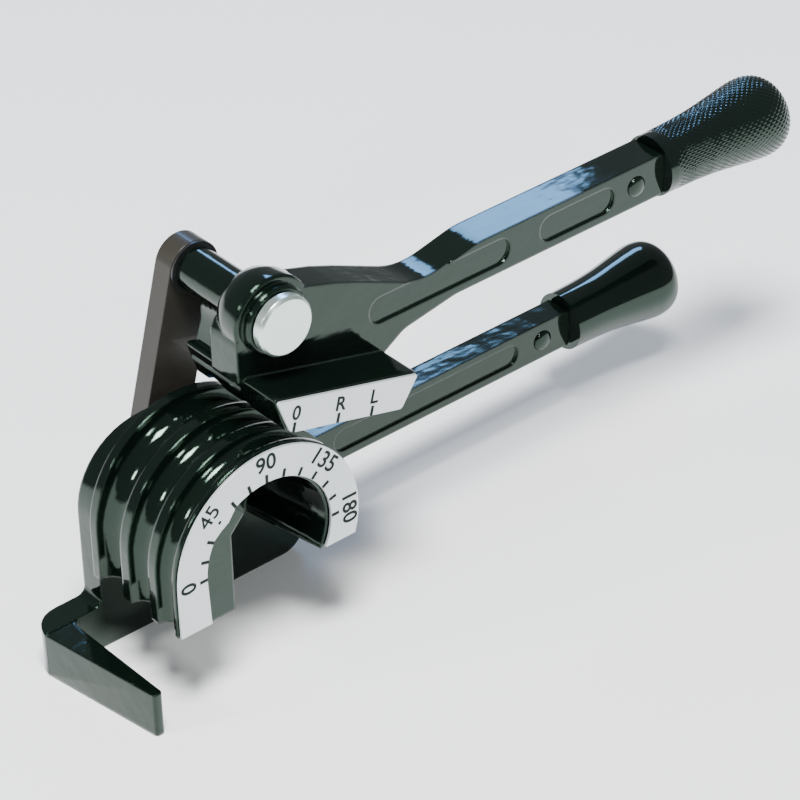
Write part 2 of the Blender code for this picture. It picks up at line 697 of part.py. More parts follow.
def eye_object():
    """The handle's round eye with its raised boss ring and rounded back."""
    front = UPPER_FRONT
    boss = front - EYE_BOSS_HEIGHT
    shoulder = (front + UPPER_BACK) / 2
    mean = (EYE_RADIUS + EYE_BACK_RADIUS) / 2
    profile = [
        (0, UPPER_BACK + GAP),
        (EYE_BACK_RADIUS, UPPER_BACK + GAP),
        (mean, UPPER_BACK - EYE_EDGE * 2),
        (EYE_RADIUS, shoulder),
        (EYE_RADIUS, front + EYE_EDGE),
        (EYE_RADIUS - EYE_EDGE, front),
        (EYE_BOSS_RADIUS, front),
        (EYE_BOSS_RADIUS, boss + EYE_EDGE),
        (EYE_BOSS_RADIUS - EYE_EDGE, boss),
        (0, boss),
    ]
    return turned("handle_eye", profile, "handle", (PIN_X, 0, PIN_Z), 40, cutter=True)


def beam_outline():
    """Front view of the handle's head, neck and beam."""
    height = UPPER_TOP - UPPER_BOTTOM
    left = PIN_X - EYE_RADIUS
    corners = [(left, shoe_top_z(left) - GAP * 4, 0), (left, PIN_Z, EYE_RADIUS * 0.5)]
    for along, rise, bend in NECK_TOP_SHARES:
        x = PIN_X + NECK_SPAN * along
        corners.append((x, UPPER_TOP + height * rise, NECK_SPAN * bend))
    corners += [
        (UPPER_LENGTH, UPPER_TOP, HOOK_EDGE),
        (UPPER_LENGTH, UPPER_BOTTOM, HOOK_EDGE),
    ]
    for along, rise, bend in NECK_BOTTOM_SHARES:
        x = PIN_X + NECK_SPAN * along
        corners.append((x, UPPER_BOTTOM + height * rise, NECK_SPAN * bend))
    end_x = bend_point(SHOE_END, SHOE_TOP)[0] - GAP * 3
    corners.append((end_x, shoe_top_z(end_x) - GAP * 4, 0))
    return rounded(corners)


def shoe_top_z(x):
    """Height of the shoe's top face at a place along X."""
    return (SHOE_TOP - x * math.sin(SWING)) / math.cos(SWING)


def web_object():
    """The web from the hub down to the shoe's top, flared at its foot."""
    foot = shoe_top_z(PIN_X) - GAP * 8
    rise = PIN_Z - foot
    points = []
    for along, share in WEB_FLARE_SHARES:
        x = PIN_X + HUB_RADIUS * WEB_SPREAD_SHARE * along
        z = foot + rise * share
        points.append((x, min(z, shoe_top_z(x) - GAP * 4) if share == 0 else z))
    back = DIE_WIDTH - GAP * 2
    return front_plate("handle_web", points, UPPER_FRONT + GAP * 8, back, "handle", cutter=True)


def shoe_corners(inset=0):
    """Front view of the shoe, with slanted ends, in the tool frame."""
    low = SHOE_BOTTOM + inset
    high = SHOE_TOP - inset
    local = [
        (-SHOE_LEAD + SHOE_LEFT_SLOPE + inset, low, SHOE_CORNER),
        (SHOE_END - SHOE_RIGHT_SLOPE - inset, low, SHOE_CORNER / 2),
        (SHOE_END - inset, high, SHOE_CORNER / 4),
        (-SHOE_LEAD + inset, high, SHOE_CORNER / 4),
    ]
    return rounded([(*bend_point(along, out), radius) for along, out, radius in local])


def shoe_groove(index, depth, diameter):
    """Straight tube along the shoe, as a cutter."""
    reach = SHOE_LENGTH + OVERRUN * 2
    profile = [(0, reach / 2), (diameter / 2, reach / 2), (diameter / 2, -reach / 2), (0, -reach / 2)]
    x, z = bend_point((SHOE_END - SHOE_LEAD) / 2, BEND_RADIUS)
    name = f"shoe_groove_{index}"
    item = turned(name, profile, "handle", (x, depth, z), BORE_SIDES, "X", cutter=True)
    item.rotation_euler = (0, math.pi / 2 + SWING, 0)
    return item


def make_handle(material):
    """The forming handle: eye, hub, web, shoe, neck and beam in one casting."""
    handle = front_plate("forming_handle", beam_outline(), UPPER_FRONT, UPPER_BACK, "handle")
    shoe = front_plate("shoe_block", shoe_corners(), DIE_FRONT, DIE_WIDTH, "handle", cutter=True)
    hub_front = UPPER_FRONT + GAP * 4
    hub = rod("handle_hub", HUB_RADIUS, hub_front, HUB_BACK, "handle", (PIN_X, PIN_Z), TURN_STEPS)
    join(handle, shoe, web_object(), eye_object(), hub)
    bore = PIVOT_PIN_RADIUS + GAP + PIVOT_BUSH_WALL + GAP
    front = UPPER_FRONT - EYE_BOSS_HEIGHT - OVERRUN
    back = HUB_BACK + OVERRUN
    cut(handle, rod("handle_bush_bore", bore, front, back, "handle", (PIN_X, PIN_Z)))
    for index, (depth, diameter) in enumerate(zip(groove_centres(), TUBE_DIAMETERS)):
        cut(handle, shoe_groove(index, depth, diameter))
    height = UPPER_TOP - UPPER_BOTTOM
    cut(handle, pocket("upper_panel", UPPER_PANEL_SPAN, UPPER_MIDDLE_Z, height, UPPER_FRONT, "handle"))
    cut(handle, pocket("upper_recess", UPPER_RECESS_SPAN, UPPER_MIDDLE_Z, height, UPPER_FRONT, "handle"))
    depth = (UPPER_FRONT + UPPER_BACK) / 2
    cut(handle, shank_bore("upper_shank_bore", UPPER_LENGTH, UPPER_MIDDLE_Z, depth, "handle"))
    place = (UPPER_LENGTH - CROSS_PIN_INSET, UPPER_MIDDLE_Z)
    hole_front = UPPER_FRONT - OVERRUN
    hole_back = UPPER_BACK + OVERRUN
    hole = rod("upper_cross_hole", CROSS_PIN_RADIUS + GAP, hole_front, hole_back, "handle", place)
    cut(handle, hole)
    finish(handle, material)


def make_shoe_plate(material):
    """The thin plate with the alignment marks on the shoe's front."""
    plate = front_plate("shoe_plate", shoe_corners(PLATE_INSET), 0, PLATE_THICKNESS, "handle")
    finish(plate, material)


def make_grip(name, start, length, radius, middle, depth, body, material):
    """A drop-shaped grip whose shank enters the handle's end."""
    cross = CROSS_PIN_RADIUS + GAP
    profile = []
    for along, share in GRIP_PROFILE_SHARES:
        profile.append((radius * share, start + GAP + length * along))
    profile += [(SHANK_RADIUS, start + GAP), (SHANK_RADIUS, start - SHANK_LENGTH)]
    profile.append((0, start - SHANK_LENGTH))
    grip = turned(name, profile, body, (0, depth, middle), TURN_STEPS, "X")
    place = (start - CROSS_PIN_INSET, middle)
    front = depth - SHANK_RADIUS - OVERRUN
    back = depth + SHANK_RADIUS + OVERRUN
    cut(grip, rod(name + "_cross_hole", cross, front, back, body, place, SMALL_STEPS))
    finish(grip, material)


def make_cross_pin(name, start, middle, front, back, body, material):
    """The round pin that holds a grip's shank, a little proud of the front face."""
    radius = CROSS_PIN_RADIUS
    edge = CROSS_PIN_CHAMFER
    low = front - CROSS_PIN_PROUD
    profile = [(0, back), (radius, back), (radius, low + edge), (radius - edge, low), (0, low)]
    pin = turned(name, profile, body, (start - CROSS_PIN_INSET, 0, middle), SMALL_STEPS)
    finish(pin, material)


def make_grips(material, steel):
    """Both grips and their cross pins."""
    lower_depth = (FRAME_FRONT + FRAME_BACK) / 2
    upper_depth = (UPPER_FRONT + UPPER_BACK) / 2
    make_grip("lower_grip", LOWER_LENGTH, LOWER_GRIP_LENGTH, LOWER_GRIP_RADIUS, LOWER_MIDDLE_Z,
              lower_depth, "frame", material)
    make_grip("upper_grip", UPPER_LENGTH, UPPER_GRIP_LENGTH, UPPER_GRIP_RADIUS, UPPER_MIDDLE_Z,
              upper_depth, "handle", material)
    make_cross_pin("lower_grip_pin", LOWER_LENGTH, LOWER_MIDDLE_Z, FRAME_FRONT, FRAME_BACK,
                   "frame", steel)
    make_cross_pin("upper_grip_pin", UPPER_LENGTH, UPPER_MIDDLE_Z, UPPER_FRONT, UPPER_BACK,
                   "handle", steel)


def main():
    """Build the tool, piece by piece."""
    casting = make_material("black_casting", (0.012, 0.014, 0.015), 0.12, 0.6)
    silver = make_material("bright_pin", (0.72, 0.78, 0.76), 0.2, 1.0)
    steel = make_material("dark_steel", (0.09, 0.09, 0.095), 0.35, 1.0)
    bronze = make_material("bronze", (0.45, 0.28, 0.12), 0.35, 1.0)
    plate = make_material("pale_plate", (0.78, 0.83, 0.85), 0.4, 0.3)
    die = make_die(casting)
    cut_die_holes(die)
    make_degree_plate(plate)
    make_frame(casting)
    make_screws(steel)
    make_dowels(steel)
    make_centre_pivot(steel, bronze)
    make_link(casting)
    make_handle_pivot(silver, steel, bronze)
    make_handle(casting)
    make_shoe_plate(plate)
    make_grips(casting, steel)


clear_scene()
PARTS = new_collection("tube_bender")
CUTTERS = new_collection("cutters")
EMPTIES = make_pivots()
main()
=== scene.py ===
"""Looks of the hand tube bender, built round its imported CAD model.

The castings, plates and most of the hardware are shown as merged copies of their CAD nodes with
procedural finishes, and the dark hardware keeps its sharp edges. The bushes and dowels are the CAD
nodes themselves, painted. The grips and their rivets are surfaces of revolution worked out with
numpy, and the scale's marks and digits are thin raised pieces on the two pale plates.

Meshes are in metres in the row frame. Lengths in the classes are in millimetres, and places are in
the tool frame, whose origin is on the die's axis in the die's front plane; `to_row` moves them into
the row frame. The finishes, the knurl's pitch and the stage are in metres, as they say.
"""

from __future__ import annotations

import json
import logging
import math
from dataclasses import dataclass, field
from enum import Enum
from typing import Any

import bmesh
import bpy
import numpy as np
from mathutils import Matrix, Vector

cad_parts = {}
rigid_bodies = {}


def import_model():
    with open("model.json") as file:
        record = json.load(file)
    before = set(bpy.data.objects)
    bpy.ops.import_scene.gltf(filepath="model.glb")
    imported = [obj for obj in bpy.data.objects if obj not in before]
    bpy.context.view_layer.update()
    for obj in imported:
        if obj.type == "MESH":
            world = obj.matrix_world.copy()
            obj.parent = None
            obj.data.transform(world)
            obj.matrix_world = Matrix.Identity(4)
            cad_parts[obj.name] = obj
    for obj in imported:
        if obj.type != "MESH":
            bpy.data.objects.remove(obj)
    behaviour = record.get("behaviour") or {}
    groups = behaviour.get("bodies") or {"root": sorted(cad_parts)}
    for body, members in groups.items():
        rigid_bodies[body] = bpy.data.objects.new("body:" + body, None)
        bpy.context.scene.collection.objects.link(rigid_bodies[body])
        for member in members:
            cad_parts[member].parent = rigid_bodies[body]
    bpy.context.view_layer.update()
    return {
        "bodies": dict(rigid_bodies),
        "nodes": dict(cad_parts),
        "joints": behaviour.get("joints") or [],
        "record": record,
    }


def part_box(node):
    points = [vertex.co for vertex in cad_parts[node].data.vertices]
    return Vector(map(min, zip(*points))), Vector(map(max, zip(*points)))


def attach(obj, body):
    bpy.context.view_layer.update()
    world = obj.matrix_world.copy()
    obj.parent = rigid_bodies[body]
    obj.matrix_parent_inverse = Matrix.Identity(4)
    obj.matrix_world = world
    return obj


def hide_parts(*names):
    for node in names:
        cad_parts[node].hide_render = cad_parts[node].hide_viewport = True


LOG = logging.getLogger("tube_bender")
MM = 0.001
HOLD_POINT = np.array((88.0, 42.12, -11.55))
MERGE_DISTANCE = 1.0e-5
FLAT_ANGLE = math.radians(1.0)
SHARP_ANGLE = math.radians(32.0)
ROUNDING_SEGMENTS = 3
BEVEL_SAMPLES = 6
COAT_ROUGHNESS = 0.04

# The Mix node has sockets for each type of data; these are its colour sockets.
MIX_FIRST = 6
MIX_SECOND = 7
MIX_RESULT = 2

Colour = tuple[float, float, float]
Place = tuple[float, float, float]
WHITE: Colour = (1.0, 1.0, 1.0)


def to_row(points: Any) -> np.ndarray:
    """Moves tool-frame millimetres into row-frame metres: subtract the holding point, then scale.

    Args:
        points: One point or an array of points in millimetres.

    Returns:
        The same points in metres in the row frame.
    """
    return (np.asarray(points, float) - HOLD_POINT) * MM


def front_of(low: Vector) -> float:
    """Front plane in tool millimetres of a node, from the low corner of its box."""
    return low.y / MM + HOLD_POINT[1]


def linked(name: str, data: Any) -> bpy.types.Object:
    """Makes an object and links it to the scene.

    Args:
        name: Object name.
        data: Its mesh, curve, light or camera.

    Returns:
        The new object.
    """
    made = bpy.data.objects.new(name, data)
    bpy.context.scene.collection.objects.link(made)
    return made


@dataclass(frozen=True)
class Noise:
    """A noise texture: cells per metre, octaves and factors on the three axes."""

    scale: float
    detail: float
    stretch: tuple[float, float, float] = (1.0, 1.0, 1.0)


class Grain(Enum):
    """Height noise of a surface: slow orange peel, fine brushing along X, or fine even grain."""

    ENAMEL = Noise(150.0, 2.5, (0.55, 1.0, 1.0))
    SATIN = Noise(900.0, 3.0, (0.08, 1.0, 1.0))
    TURNED = Noise(1500.0, 2.0)


COLOUR_PATCHES = Noise(38.0, 4.0)
WEAR = Noise(120.0, 5.0)
FLOOR_CLOUDS = Noise(3.0, 2.0)


class Wire:
    """A value in a shader: adding to it or multiplying it adds a Math node."""

    def __init__(self, sheet: NodeSheet, socket: Any) -> None:
        """Keeps the sheet that owns the socket, and the socket."""
        self.sheet = sheet
        self.socket = socket

    def math(self, operation: str, other: Any) -> Wire:
        """Adds one Math node.

        Args:
            operation: The Math node's operation.
            other: The value or wire after this one.

        Returns:
            The node's result.
        """
        return self.sheet.node("ShaderNodeMath", {"operation": operation}, {0: self, 1: other})

    def __add__(self, other: Any) -> Wire:
        """Sum."""
        return self.math("ADD", other)

    def __mul__(self, other: Any) -> Wire:
        """Product."""
        return self.math("MULTIPLY", other)


class NodeSheet:
    """The node tree of one material."""

    def __init__(self, material: bpy.types.Material) -> None:
        """Empties the tree and adds the shader and its output.

        Args:
            material: The material whose tree this is.
        """
        material.use_nodes = True
        self.tree = material.node_tree
        self.tree.nodes.clear()
        output = self.tree.nodes.new("ShaderNodeOutputMaterial")
        self.shader = self.tree.nodes.new("ShaderNodeBsdfPrincipled")
        self.tree.links.new(self.shader.outputs["BSDF"], output.inputs["Surface"])

    def feed(self, target: Any, value: Any) -> None:
        """Links a wire to a socket, or sets the socket's own value.

        Args:
            target: The input socket.
            value: A wire, or a plain value.
        """
        if isinstance(value, Wire):
            self.tree.links.new(value.socket, target)
        else:
            target.default_value = value

    def node(self, kind: str, settings: dict, values: dict, output: Any = 0) -> Wire:
        """Adds a node.

        Args:
            kind: The node's type.
            settings: Attributes set before the sockets are fed.
            values: Socket name or index to a value or wire.
            output: Name or index of the output wanted.

        Returns:
            That output as a wire.
        """
        made = self.tree.nodes.new(kind)
        for name, value in settings.items():
            setattr(made, name, value)
        for name, value in values.items():
            self.feed(made.inputs[name], value)
        return Wire(self, made.outputs[output])

    def place(self) -> Wire:
        """Object coordinates, which are the row frame."""
        return self.node("ShaderNodeTexCoord", {}, {}, "Object")

    def noise(self, noise: Noise) -> Wire:
        """Noise over the object, stretched along the axes.

        Args:
            noise: Its scale, detail and stretch.

        Returns:
            The noise from 0 to 1.
        """
        mapping = {"Vector": self.place(), "Scale": noise.stretch}
        mapped = self.node("ShaderNodeMapping", {}, mapping)
        values = {"Vector": mapped, "Scale": noise.scale, "Detail": noise.detail}
        return self.node("ShaderNodeTexNoise", {}, values)

    def mix(self, share: Any, first: Colour, second: Colour) -> Wire:
        """Blends two colours.

        Args:
            share: Share of the second colour, from 0 to 1.
            first: The colour at 0.
            second: The colour at 1.

        Returns:
            The blended colour.
        """
        values = {"Factor": share, MIX_FIRST: (*first, 1.0), MIX_SECOND: (*second, 1.0)}
        return self.node("ShaderNodeMix", {"data_type": "RGBA"}, values, MIX_RESULT)

    def bump(self, height: Wire, distance: float, edge: float) -> Wire:
        """Turns a height from 0 to 1 into a normal, over normals softened at edges.

        Args:
            height: The height field.
            distance: Its depth in metres.
            edge: Radius in metres over which edges look rounded; 0 leaves them.

        Returns:
            The normal.
        """
        values = {"Height": height, "Distance": distance, "Strength": 1.0}
        if edge > 0:
            settings = {"samples": BEVEL_SAMPLES}
            values["Normal"] = self.node("ShaderNodeBevel", settings, {"Radius": edge})
        return self.node("ShaderNodeBump", {}, values)


@dataclass(frozen=True)
class Finish:
    """One surface finish and the record's slot it belongs to, with its depths in metres."""

    name: str
    slot: str
    colour: Colour
    second_colour: Colour
    roughness: float
    roughness_spread: float
    grain: Grain
    metallic: float = 0.0
    coat: float = 0.0
    bump_depth: float = 0.00001
    specular: float = 0.5
    # Tint of every reflection. Where it is not white it is a painted reflection colour, the green of
    # coloured surroundings, not the surface's own.
    specular_tint: Colour = WHITE
    soft_edge: float = 0.0

    def build(self) -> bpy.types.Material:
        """Makes the material with colour, roughness and bump that vary over the surface.

        Returns:
            The material.
        """
        material = bpy.data.materials.new(self.name)
        sheet = NodeSheet(material)
        shader = sheet.shader.inputs
        patches = sheet.noise(COLOUR_PATCHES)
        sheet.feed(shader["Base Color"], sheet.mix(patches, self.colour, self.second_colour))
        wear = sheet.noise(WEAR)
        sheet.feed(shader["Roughness"], wear * self.roughness_spread + self.roughness)
        shader["Metallic"].default_value = self.metallic
        shader["Coat Weight"].default_value = self.coat
        shader["Coat Roughness"].default_value = COAT_ROUGHNESS
        shader["Specular IOR Level"].default_value = self.specular
        # The reflection tint paints the colour of coloured surroundings into every reflection.
        shader["Specular Tint"].default_value = (*self.specular_tint, 1.0)
        height = sheet.noise(self.grain.value)
        sheet.feed(shader["Normal"], sheet.bump(height, self.bump_depth, self.soft_edge))
        return material


ENAMEL = Finish(
    name="black_enamel",
    slot="black_casting",
    colour=(0.001, 0.002, 0.002),
    second_colour=(0.002, 0.005, 0.003),
    roughness=0.04,
    roughness_spread=0.08,
    grain=Grain.ENAMEL,
    coat=0.2,
    bump_depth=0.00020,
    specular=0.36,
    # Painted reflection colour: tints every reflection green, as of green surroundings.
    specular_tint=(0.62, 1.0, 0.76),
    soft_edge=0.0009,
)
GRIP_ENAMEL = Finish(
    name="grip_enamel",
    slot="grip_black",
    colour=(0.001, 0.002, 0.002),
    second_colour=(0.002, 0.004, 0.003),
    roughness=0.05,
    roughness_spread=0.08,
    grain=Grain.ENAMEL,
    coat=0.25,
    bump_depth=0.00005,
    specular=0.42,
    # Painted reflection colour: tints every reflection green, as of green surroundings.
    specular_tint=(0.60, 1.0, 0.75),
)
LINK_BLACK = Finish(
    name="link_black",
    slot="link_black",
    colour=(0.014, 0.013, 0.011),
    second_colour=(0.030, 0.027, 0.021),
    roughness=0.30,
    roughness_spread=0.16,
    grain=Grain.ENAMEL,
    coat=0.15,
    bump_depth=0.00005,
    specular=0.3,
    soft_edge=0.0006,
)
PALE_PLATE = Finish(
    name="pale_plate",
    slot="pale_plate",
    colour=(0.50, 0.54, 0.54),
    second_colour=(0.62, 0.66, 0.67),
    roughness=0.34,
    roughness_spread=0.14,
    grain=Grain.SATIN,
    metallic=0.55,
)
BRIGHT_PIN = Finish(
    name="bright_pin",
    slot="bright_steel",
    colour=(0.56, 0.68, 0.63),
    second_colour=(0.70, 0.80, 0.76),
    roughness=0.20,
    roughness_spread=0.12,
    grain=Grain.TURNED,
    metallic=0.9,
)
DARK_STEEL = Finish(
    name="dark_steel",
    slot="dark_steel",
    colour=(0.045, 0.048, 0.05),
    second_colour=(0.085, 0.088, 0.09),
    roughness=0.28,
    roughness_spread=0.16,
    grain=Grain.TURNED,
    metallic=0.9,
)
BRONZE = Finish(
    name="bearing_bronze",
    slot="bronze",
    colour=(0.36, 0.24, 0.11),
    second_colour=(0.46, 0.32, 0.16),
    roughness=0.34,
    roughness_spread=0.16,
    grain=Grain.TURNED,
    metallic=0.95,
)
SCALE_INK = Finish(
    name="scale_ink",
    slot="pale_plate",
    colour=(0.003, 0.008, 0.006),
    second_colour=(0.006, 0.014, 0.010),
    roughness=0.55,
    roughness_spread=0.12,
    grain=Grain.SATIN,
    bump_depth=0.000005,
    specular=0.15,
)


def smooth(mesh: bpy.types.Mesh) -> None:
    """Shades a mesh smooth and keeps its sharp edges.

    Args:
        mesh: The mesh.
    """
    mesh.polygons.foreach_set("use_smooth", np.ones(len(mesh.polygons), bool))
    mesh.set_sharp_from_angle(angle=SHARP_ANGLE)


def closed_mesh(points: np.ndarray, faces: list, name: str) -> bpy.types.Mesh:
    """Makes a mesh from closed surfaces and turns its faces outwards.

    Args:
        points: Array (n, 3) in the row frame.
        faces: Lists of point indices.
        name: Mesh name.

    Returns:
        The flat-shaded mesh.
    """
    mesh = bpy.data.meshes.new(name)
    mesh.from_pydata(points.tolist(), [], faces)
    work = bmesh.new()
    work.from_mesh(mesh)
    bmesh.ops.recalc_face_normals(work, faces=work.faces)
    work.to_mesh(mesh)
    work.free()
    return mesh


def turned_mesh(rows: np.ndarray, ends: np.ndarray, name: str) -> bpy.types.Mesh:
    """Closed mesh of rings of points and a point on the axis at each end.

    Neighbouring rings are joined by quads, with each column joined to the next and the last to the
    first, and the first and last ring by triangles to their end point.

    Args:
        rows: Array (rings, columns, 3) in the row frame.
        ends: The two end points.
        name: Mesh name.

    Returns:
        The smooth-shaded mesh with its faces outwards.
    """
    rings, columns = rows.shape[:2]
    points = np.vstack((rows.reshape(-1, 3), ends))
    row, column = np.meshgrid(np.arange(rings - 1), np.arange(columns), indexing="ij")
    following = (column + 1) % columns
    first = row * columns
    after = first + columns
    quads = np.stack((first + column, after + column, after + following, first + following), -1)
    ring = np.arange(columns)
    turned = (ring + 1) % columns
    last = (rings - 1) * columns
    start = np.stack((np.full(columns, len(points) - 2), ring, turned), -1)
    finish = np.stack((np.full(columns, len(points) - 1), last + turned, last + ring), -1)
    faces = quads.reshape(-1, 4).tolist() + start.tolist() + finish.tolist()
    mesh = closed_mesh(points, faces, name)
    smooth(mesh)
    return mesh


@dataclass
class Workshop:
    """Puts meshes into the scene as finished pieces."""

    frame: dict
    materials: dict[str, bpy.types.Material] = field(default_factory=dict)

    def body_of(self, node: str) -> str:
        """Name of the body that a CAD node belongs to."""
        bodies = self.frame["record"]["behaviour"]["bodies"]
        return next(body for body, members in bodies.items() if node in members)

    def material(self, finish: Finish) -> bpy.types.Material:
        """Gives the material of a finish, which is made once.

        Args:
            finish: The finish.

        Returns:
            Its material.
        """
        if finish.name not in self.materials:
            self.materials[finish.name] = finish.build()
        return self.materials[finish.name]

    def add(self, name: str, mesh: bpy.types.Mesh, body: str, finish: Finish) -> bpy.types.Object:
        """Links a mesh as a piece.

        Args:
            name: Piece name.
            mesh: Mesh in the row frame.
            body: Body it rides on.
            finish: Its finish.

        Returns:
            The new object.
        """
        mesh.materials.clear()
        mesh.materials.append(self.material(finish))
        mesh.polygons.foreach_set("material_index", np.zeros(len(mesh.polygons), np.int32))
        piece = linked(name, mesh)
        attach(piece, body)
        LOG.info("piece %s on %s", name, body)
        return piece

    def dressed_copy(self, node: str, finish: Finish, edge: float) -> None:
        """Shows a merged, edge-rounded copy in place of a CAD node.

        Args:
            node: CAD node to stand for.
            finish: Its finish.
            edge: Radius of the rounded edges in millimetres, less where it would overlap; 0 leaves
                them sharp.
        """
        mesh = self.frame["nodes"][node].data.copy()
        work = bmesh.new()
        work.from_mesh(mesh)
        bmesh.ops.remove_doubles(work, verts=work.verts, dist=MERGE_DISTANCE)
        bmesh.ops.dissolve_limit(work, angle_limit=FLAT_ANGLE, verts=work.verts, edges=work.edges)
        work.to_mesh(mesh)
        work.free()
        if "custom_normal" in mesh.attributes:
            mesh.attributes.remove(mesh.attributes["custom_normal"])
        smooth(mesh)
        piece = self.add(f"{node}_finished", mesh, self.body_of(node), finish)
        if edge > 0:
            rounding = piece.modifiers.new("rounded_edges", "BEVEL")
            rounding.width = edge * MM
            rounding.segments = ROUNDING_SEGMENTS
            rounding.limit_method = "ANGLE"
            rounding.angle_limit = SHARP_ANGLE
            rounding.use_clamp_overlap = True
            rounding.harden_normals = True
        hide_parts(node)

    def paint_node(self, node: str, finish: Finish) -> None:
        """Gives a CAD node that stays shown a procedural finish.

        Args:
            node: The CAD node.
            finish: Its finish.
        """
        shown = self.frame["nodes"][node]
        shown.data.materials.clear()
        shown.data.materials.append(self.material(finish))
        LOG.info("painted %s", node)


@dataclass
class Castings:
    """Frame, die, link and forming handle."""

    frame_edge: float = 0.9
    die_edge: float = 0.35
    handle_edge: float = 0.5
    link_edge: float = 0.4

    def build(self, shop: Workshop) -> None:
        """Dresses the four castings.

        Args:
            shop: Where the pieces are put.
        """
        shop.dressed_copy("frame_casting", ENAMEL, self.frame_edge)
        shop.dressed_copy("forming_die", ENAMEL, self.die_edge)
        shop.dressed_copy("forming_handle", ENAMEL, self.handle_edge)
        shop.dressed_copy("link_bar", LINK_BLACK, self.link_edge)


@dataclass
class Plates:
    """The two pale plates."""

    edge: float = 0.12

    def build(self, shop: Workshop) -> None:
        """Dresses both plates."""
        shop.dressed_copy("degree_plate", PALE_PLATE, self.edge)
        shop.dressed_copy("shoe_plate", PALE_PLATE, self.edge)


@dataclass
class Hardware:
    """Pins, washers, screws, dowels and bushes."""

    bright: tuple[str, ...] = ("pivot_pin",)
    bright_edge: float = 0.15
    dark: tuple[str, ...] = (
        "centre_pin", "centre_back_washer", "centre_thrust_washer", "pivot_thrust_washer",
        "pivot_ring", "die_screw_1", "die_screw_2", "die_screw_3",
    )
    rivets: tuple[str, ...] = ("lower_grip_pin", "upper_grip_pin")
    hidden_steel: tuple[str, ...] = ("die_dowel_1", "die_dowel_2")
    bushes: tuple[str, ...] = ("link_bush", "pivot_bush")

    def build(self, shop: Workshop) -> None:
        """Dresses the shown hardware and paints what is hidden inside.

        Args:
            shop: Where the pieces are put.
        """
        for node in self.bright:
            shop.dressed_copy(node, BRIGHT_PIN, self.bright_edge)
        for node in self.dark:
            shop.dressed_copy(node, DARK_STEEL, 0)
        for node in self.rivets:
            Rivet(node).build(shop)
        for node in self.hidden_steel:
            shop.paint_node(node, DARK_STEEL)
        for node in self.bushes:
            shop.paint_node(node, BRONZE)


@dataclass
class Grip:
    """One grip: a pear-shaped surface of revolution about an axis along X, on a thin shank.

    The profile gives shares of the length from neck to tip and of the largest radius. The knurl's
    pitch is in radians per metre.
    """

    node: str
    knurled: bool
    profile: tuple[tuple[float, float], ...] = (
        (0.0, 0.75), (0.12, 0.755), (0.28, 0.775), (0.43, 0.82), (0.57, 0.89), (0.69, 0.955),
        (0.79, 0.995), (0.87, 0.965), (0.93, 0.84), (0.97, 0.62), (0.992, 0.35), (1.0, 0.0),
    )
    around: int = 96
    steps: int = 8
    shank_length: float = 15.0
    shank_radius: float = 2.4
    knurl_turns: int = 22
    knurl_pitch: float = 1750.0
    knurl_depth: float = 0.25
    knurl_span_shares: tuple[float, float] = (0.05, 0.96)
    fade_share: float = 0.05

    def outline(self) -> np.ndarray:
        """Draws a smooth profile through the shares, by Catmull-Rom from the neck's rim to the tip.

        Returns:
            Array (n, 2) of shares of length and radius.
        """
        knots = np.array(self.profile)
        padded = np.vstack((2 * knots[0] - knots[1], knots, knots[-1] * (1, 0) - (0, knots[-2][1])))
        before, start, end, after = padded[:-3], padded[1:-2], padded[2:-1], padded[3:]
        t = np.linspace(0, 1, self.steps, endpoint=False)[None, :, None]
        before, start, end, after = (knot[:, None, :] for knot in (before, start, end, after))
        curve = 0.5 * (
            2 * start + (end - before) * t + (2 * before - 5 * start + 4 * end - after) * t**2
            + (3 * start - before - 3 * end + after) * t**3
        )
        return np.vstack((curve.reshape(-1, 2), knots[-1:])).clip(0.0, 1.0)

    def build(self, shop: Workshop) -> None:
        """Turns the outline round the axis: x along, y and z the radius times cosine and sine.

        Args:
            shop: Where the piece is put.
        """
        low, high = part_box(self.node)
        centre = (low + high) / 2
        radius = (high.z - low.z) / 2
        rim = self.outline()[:-1]
        angle = np.linspace(0, 2 * math.pi, self.around, endpoint=False)
        neck = low.x + self.shank_length * MM
        x = neck + rim[:, 0] * (high.x - neck)
        reach = rim[:, 1:] * radius - self.knurl(x - neck, angle)
        shank = np.full((2, self.around), self.shank_radius * MM)
        reach = np.vstack((shank, reach))
        x = np.concatenate(((low.x, neck), x))
        rows = np.stack(
            (
                np.repeat(x[:, None], self.around, 1),
                centre.y + reach * np.cos(angle),
                centre.z + reach * np.sin(angle),
            ),
            -1,
        )
        ends = np.array(((low.x, centre.y, centre.z), (high.x, centre.y, centre.z)))
        mesh = turned_mesh(rows, ends, self.node)
        piece = shop.add(f"{self.node}_finished", mesh, shop.body_of(self.node), GRIP_ENAMEL)
        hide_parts(self.node)

    def knurl(self, along: np.ndarray, angle: np.ndarray) -> np.ndarray:
        """Depth of the diamond knurl below the outline, in metres.

        Each point stands as high as the lower of |sin(n a + k x)| and |sin(n a - k x)|, which leaves
        grooves along two opposed sets of helices. It fades in after the neck and out before the tip.

        Args:
            along: Distance from the neck in metres, one per row.
            angle: Angle round the axis, one per column.

        Returns:
            Depths, rows by columns.
        """
        if not self.knurled:
            return np.zeros((len(along), len(angle)))
        slope = along[:, None] * self.knurl_pitch
        around = self.knurl_turns * angle
        diamonds = np.minimum(np.abs(np.sin(around + slope)), np.abs(np.sin(around - slope)))
        share = along / along[-1]
        start, end = self.knurl_span_shares
        rise = np.clip((share - start) / self.fade_share, 0, 1)
        fade = rise * np.clip((end - share) / self.fade_share, 0, 1)
        return (1 - diamonds) * self.knurl_depth * MM * fade[:, None]


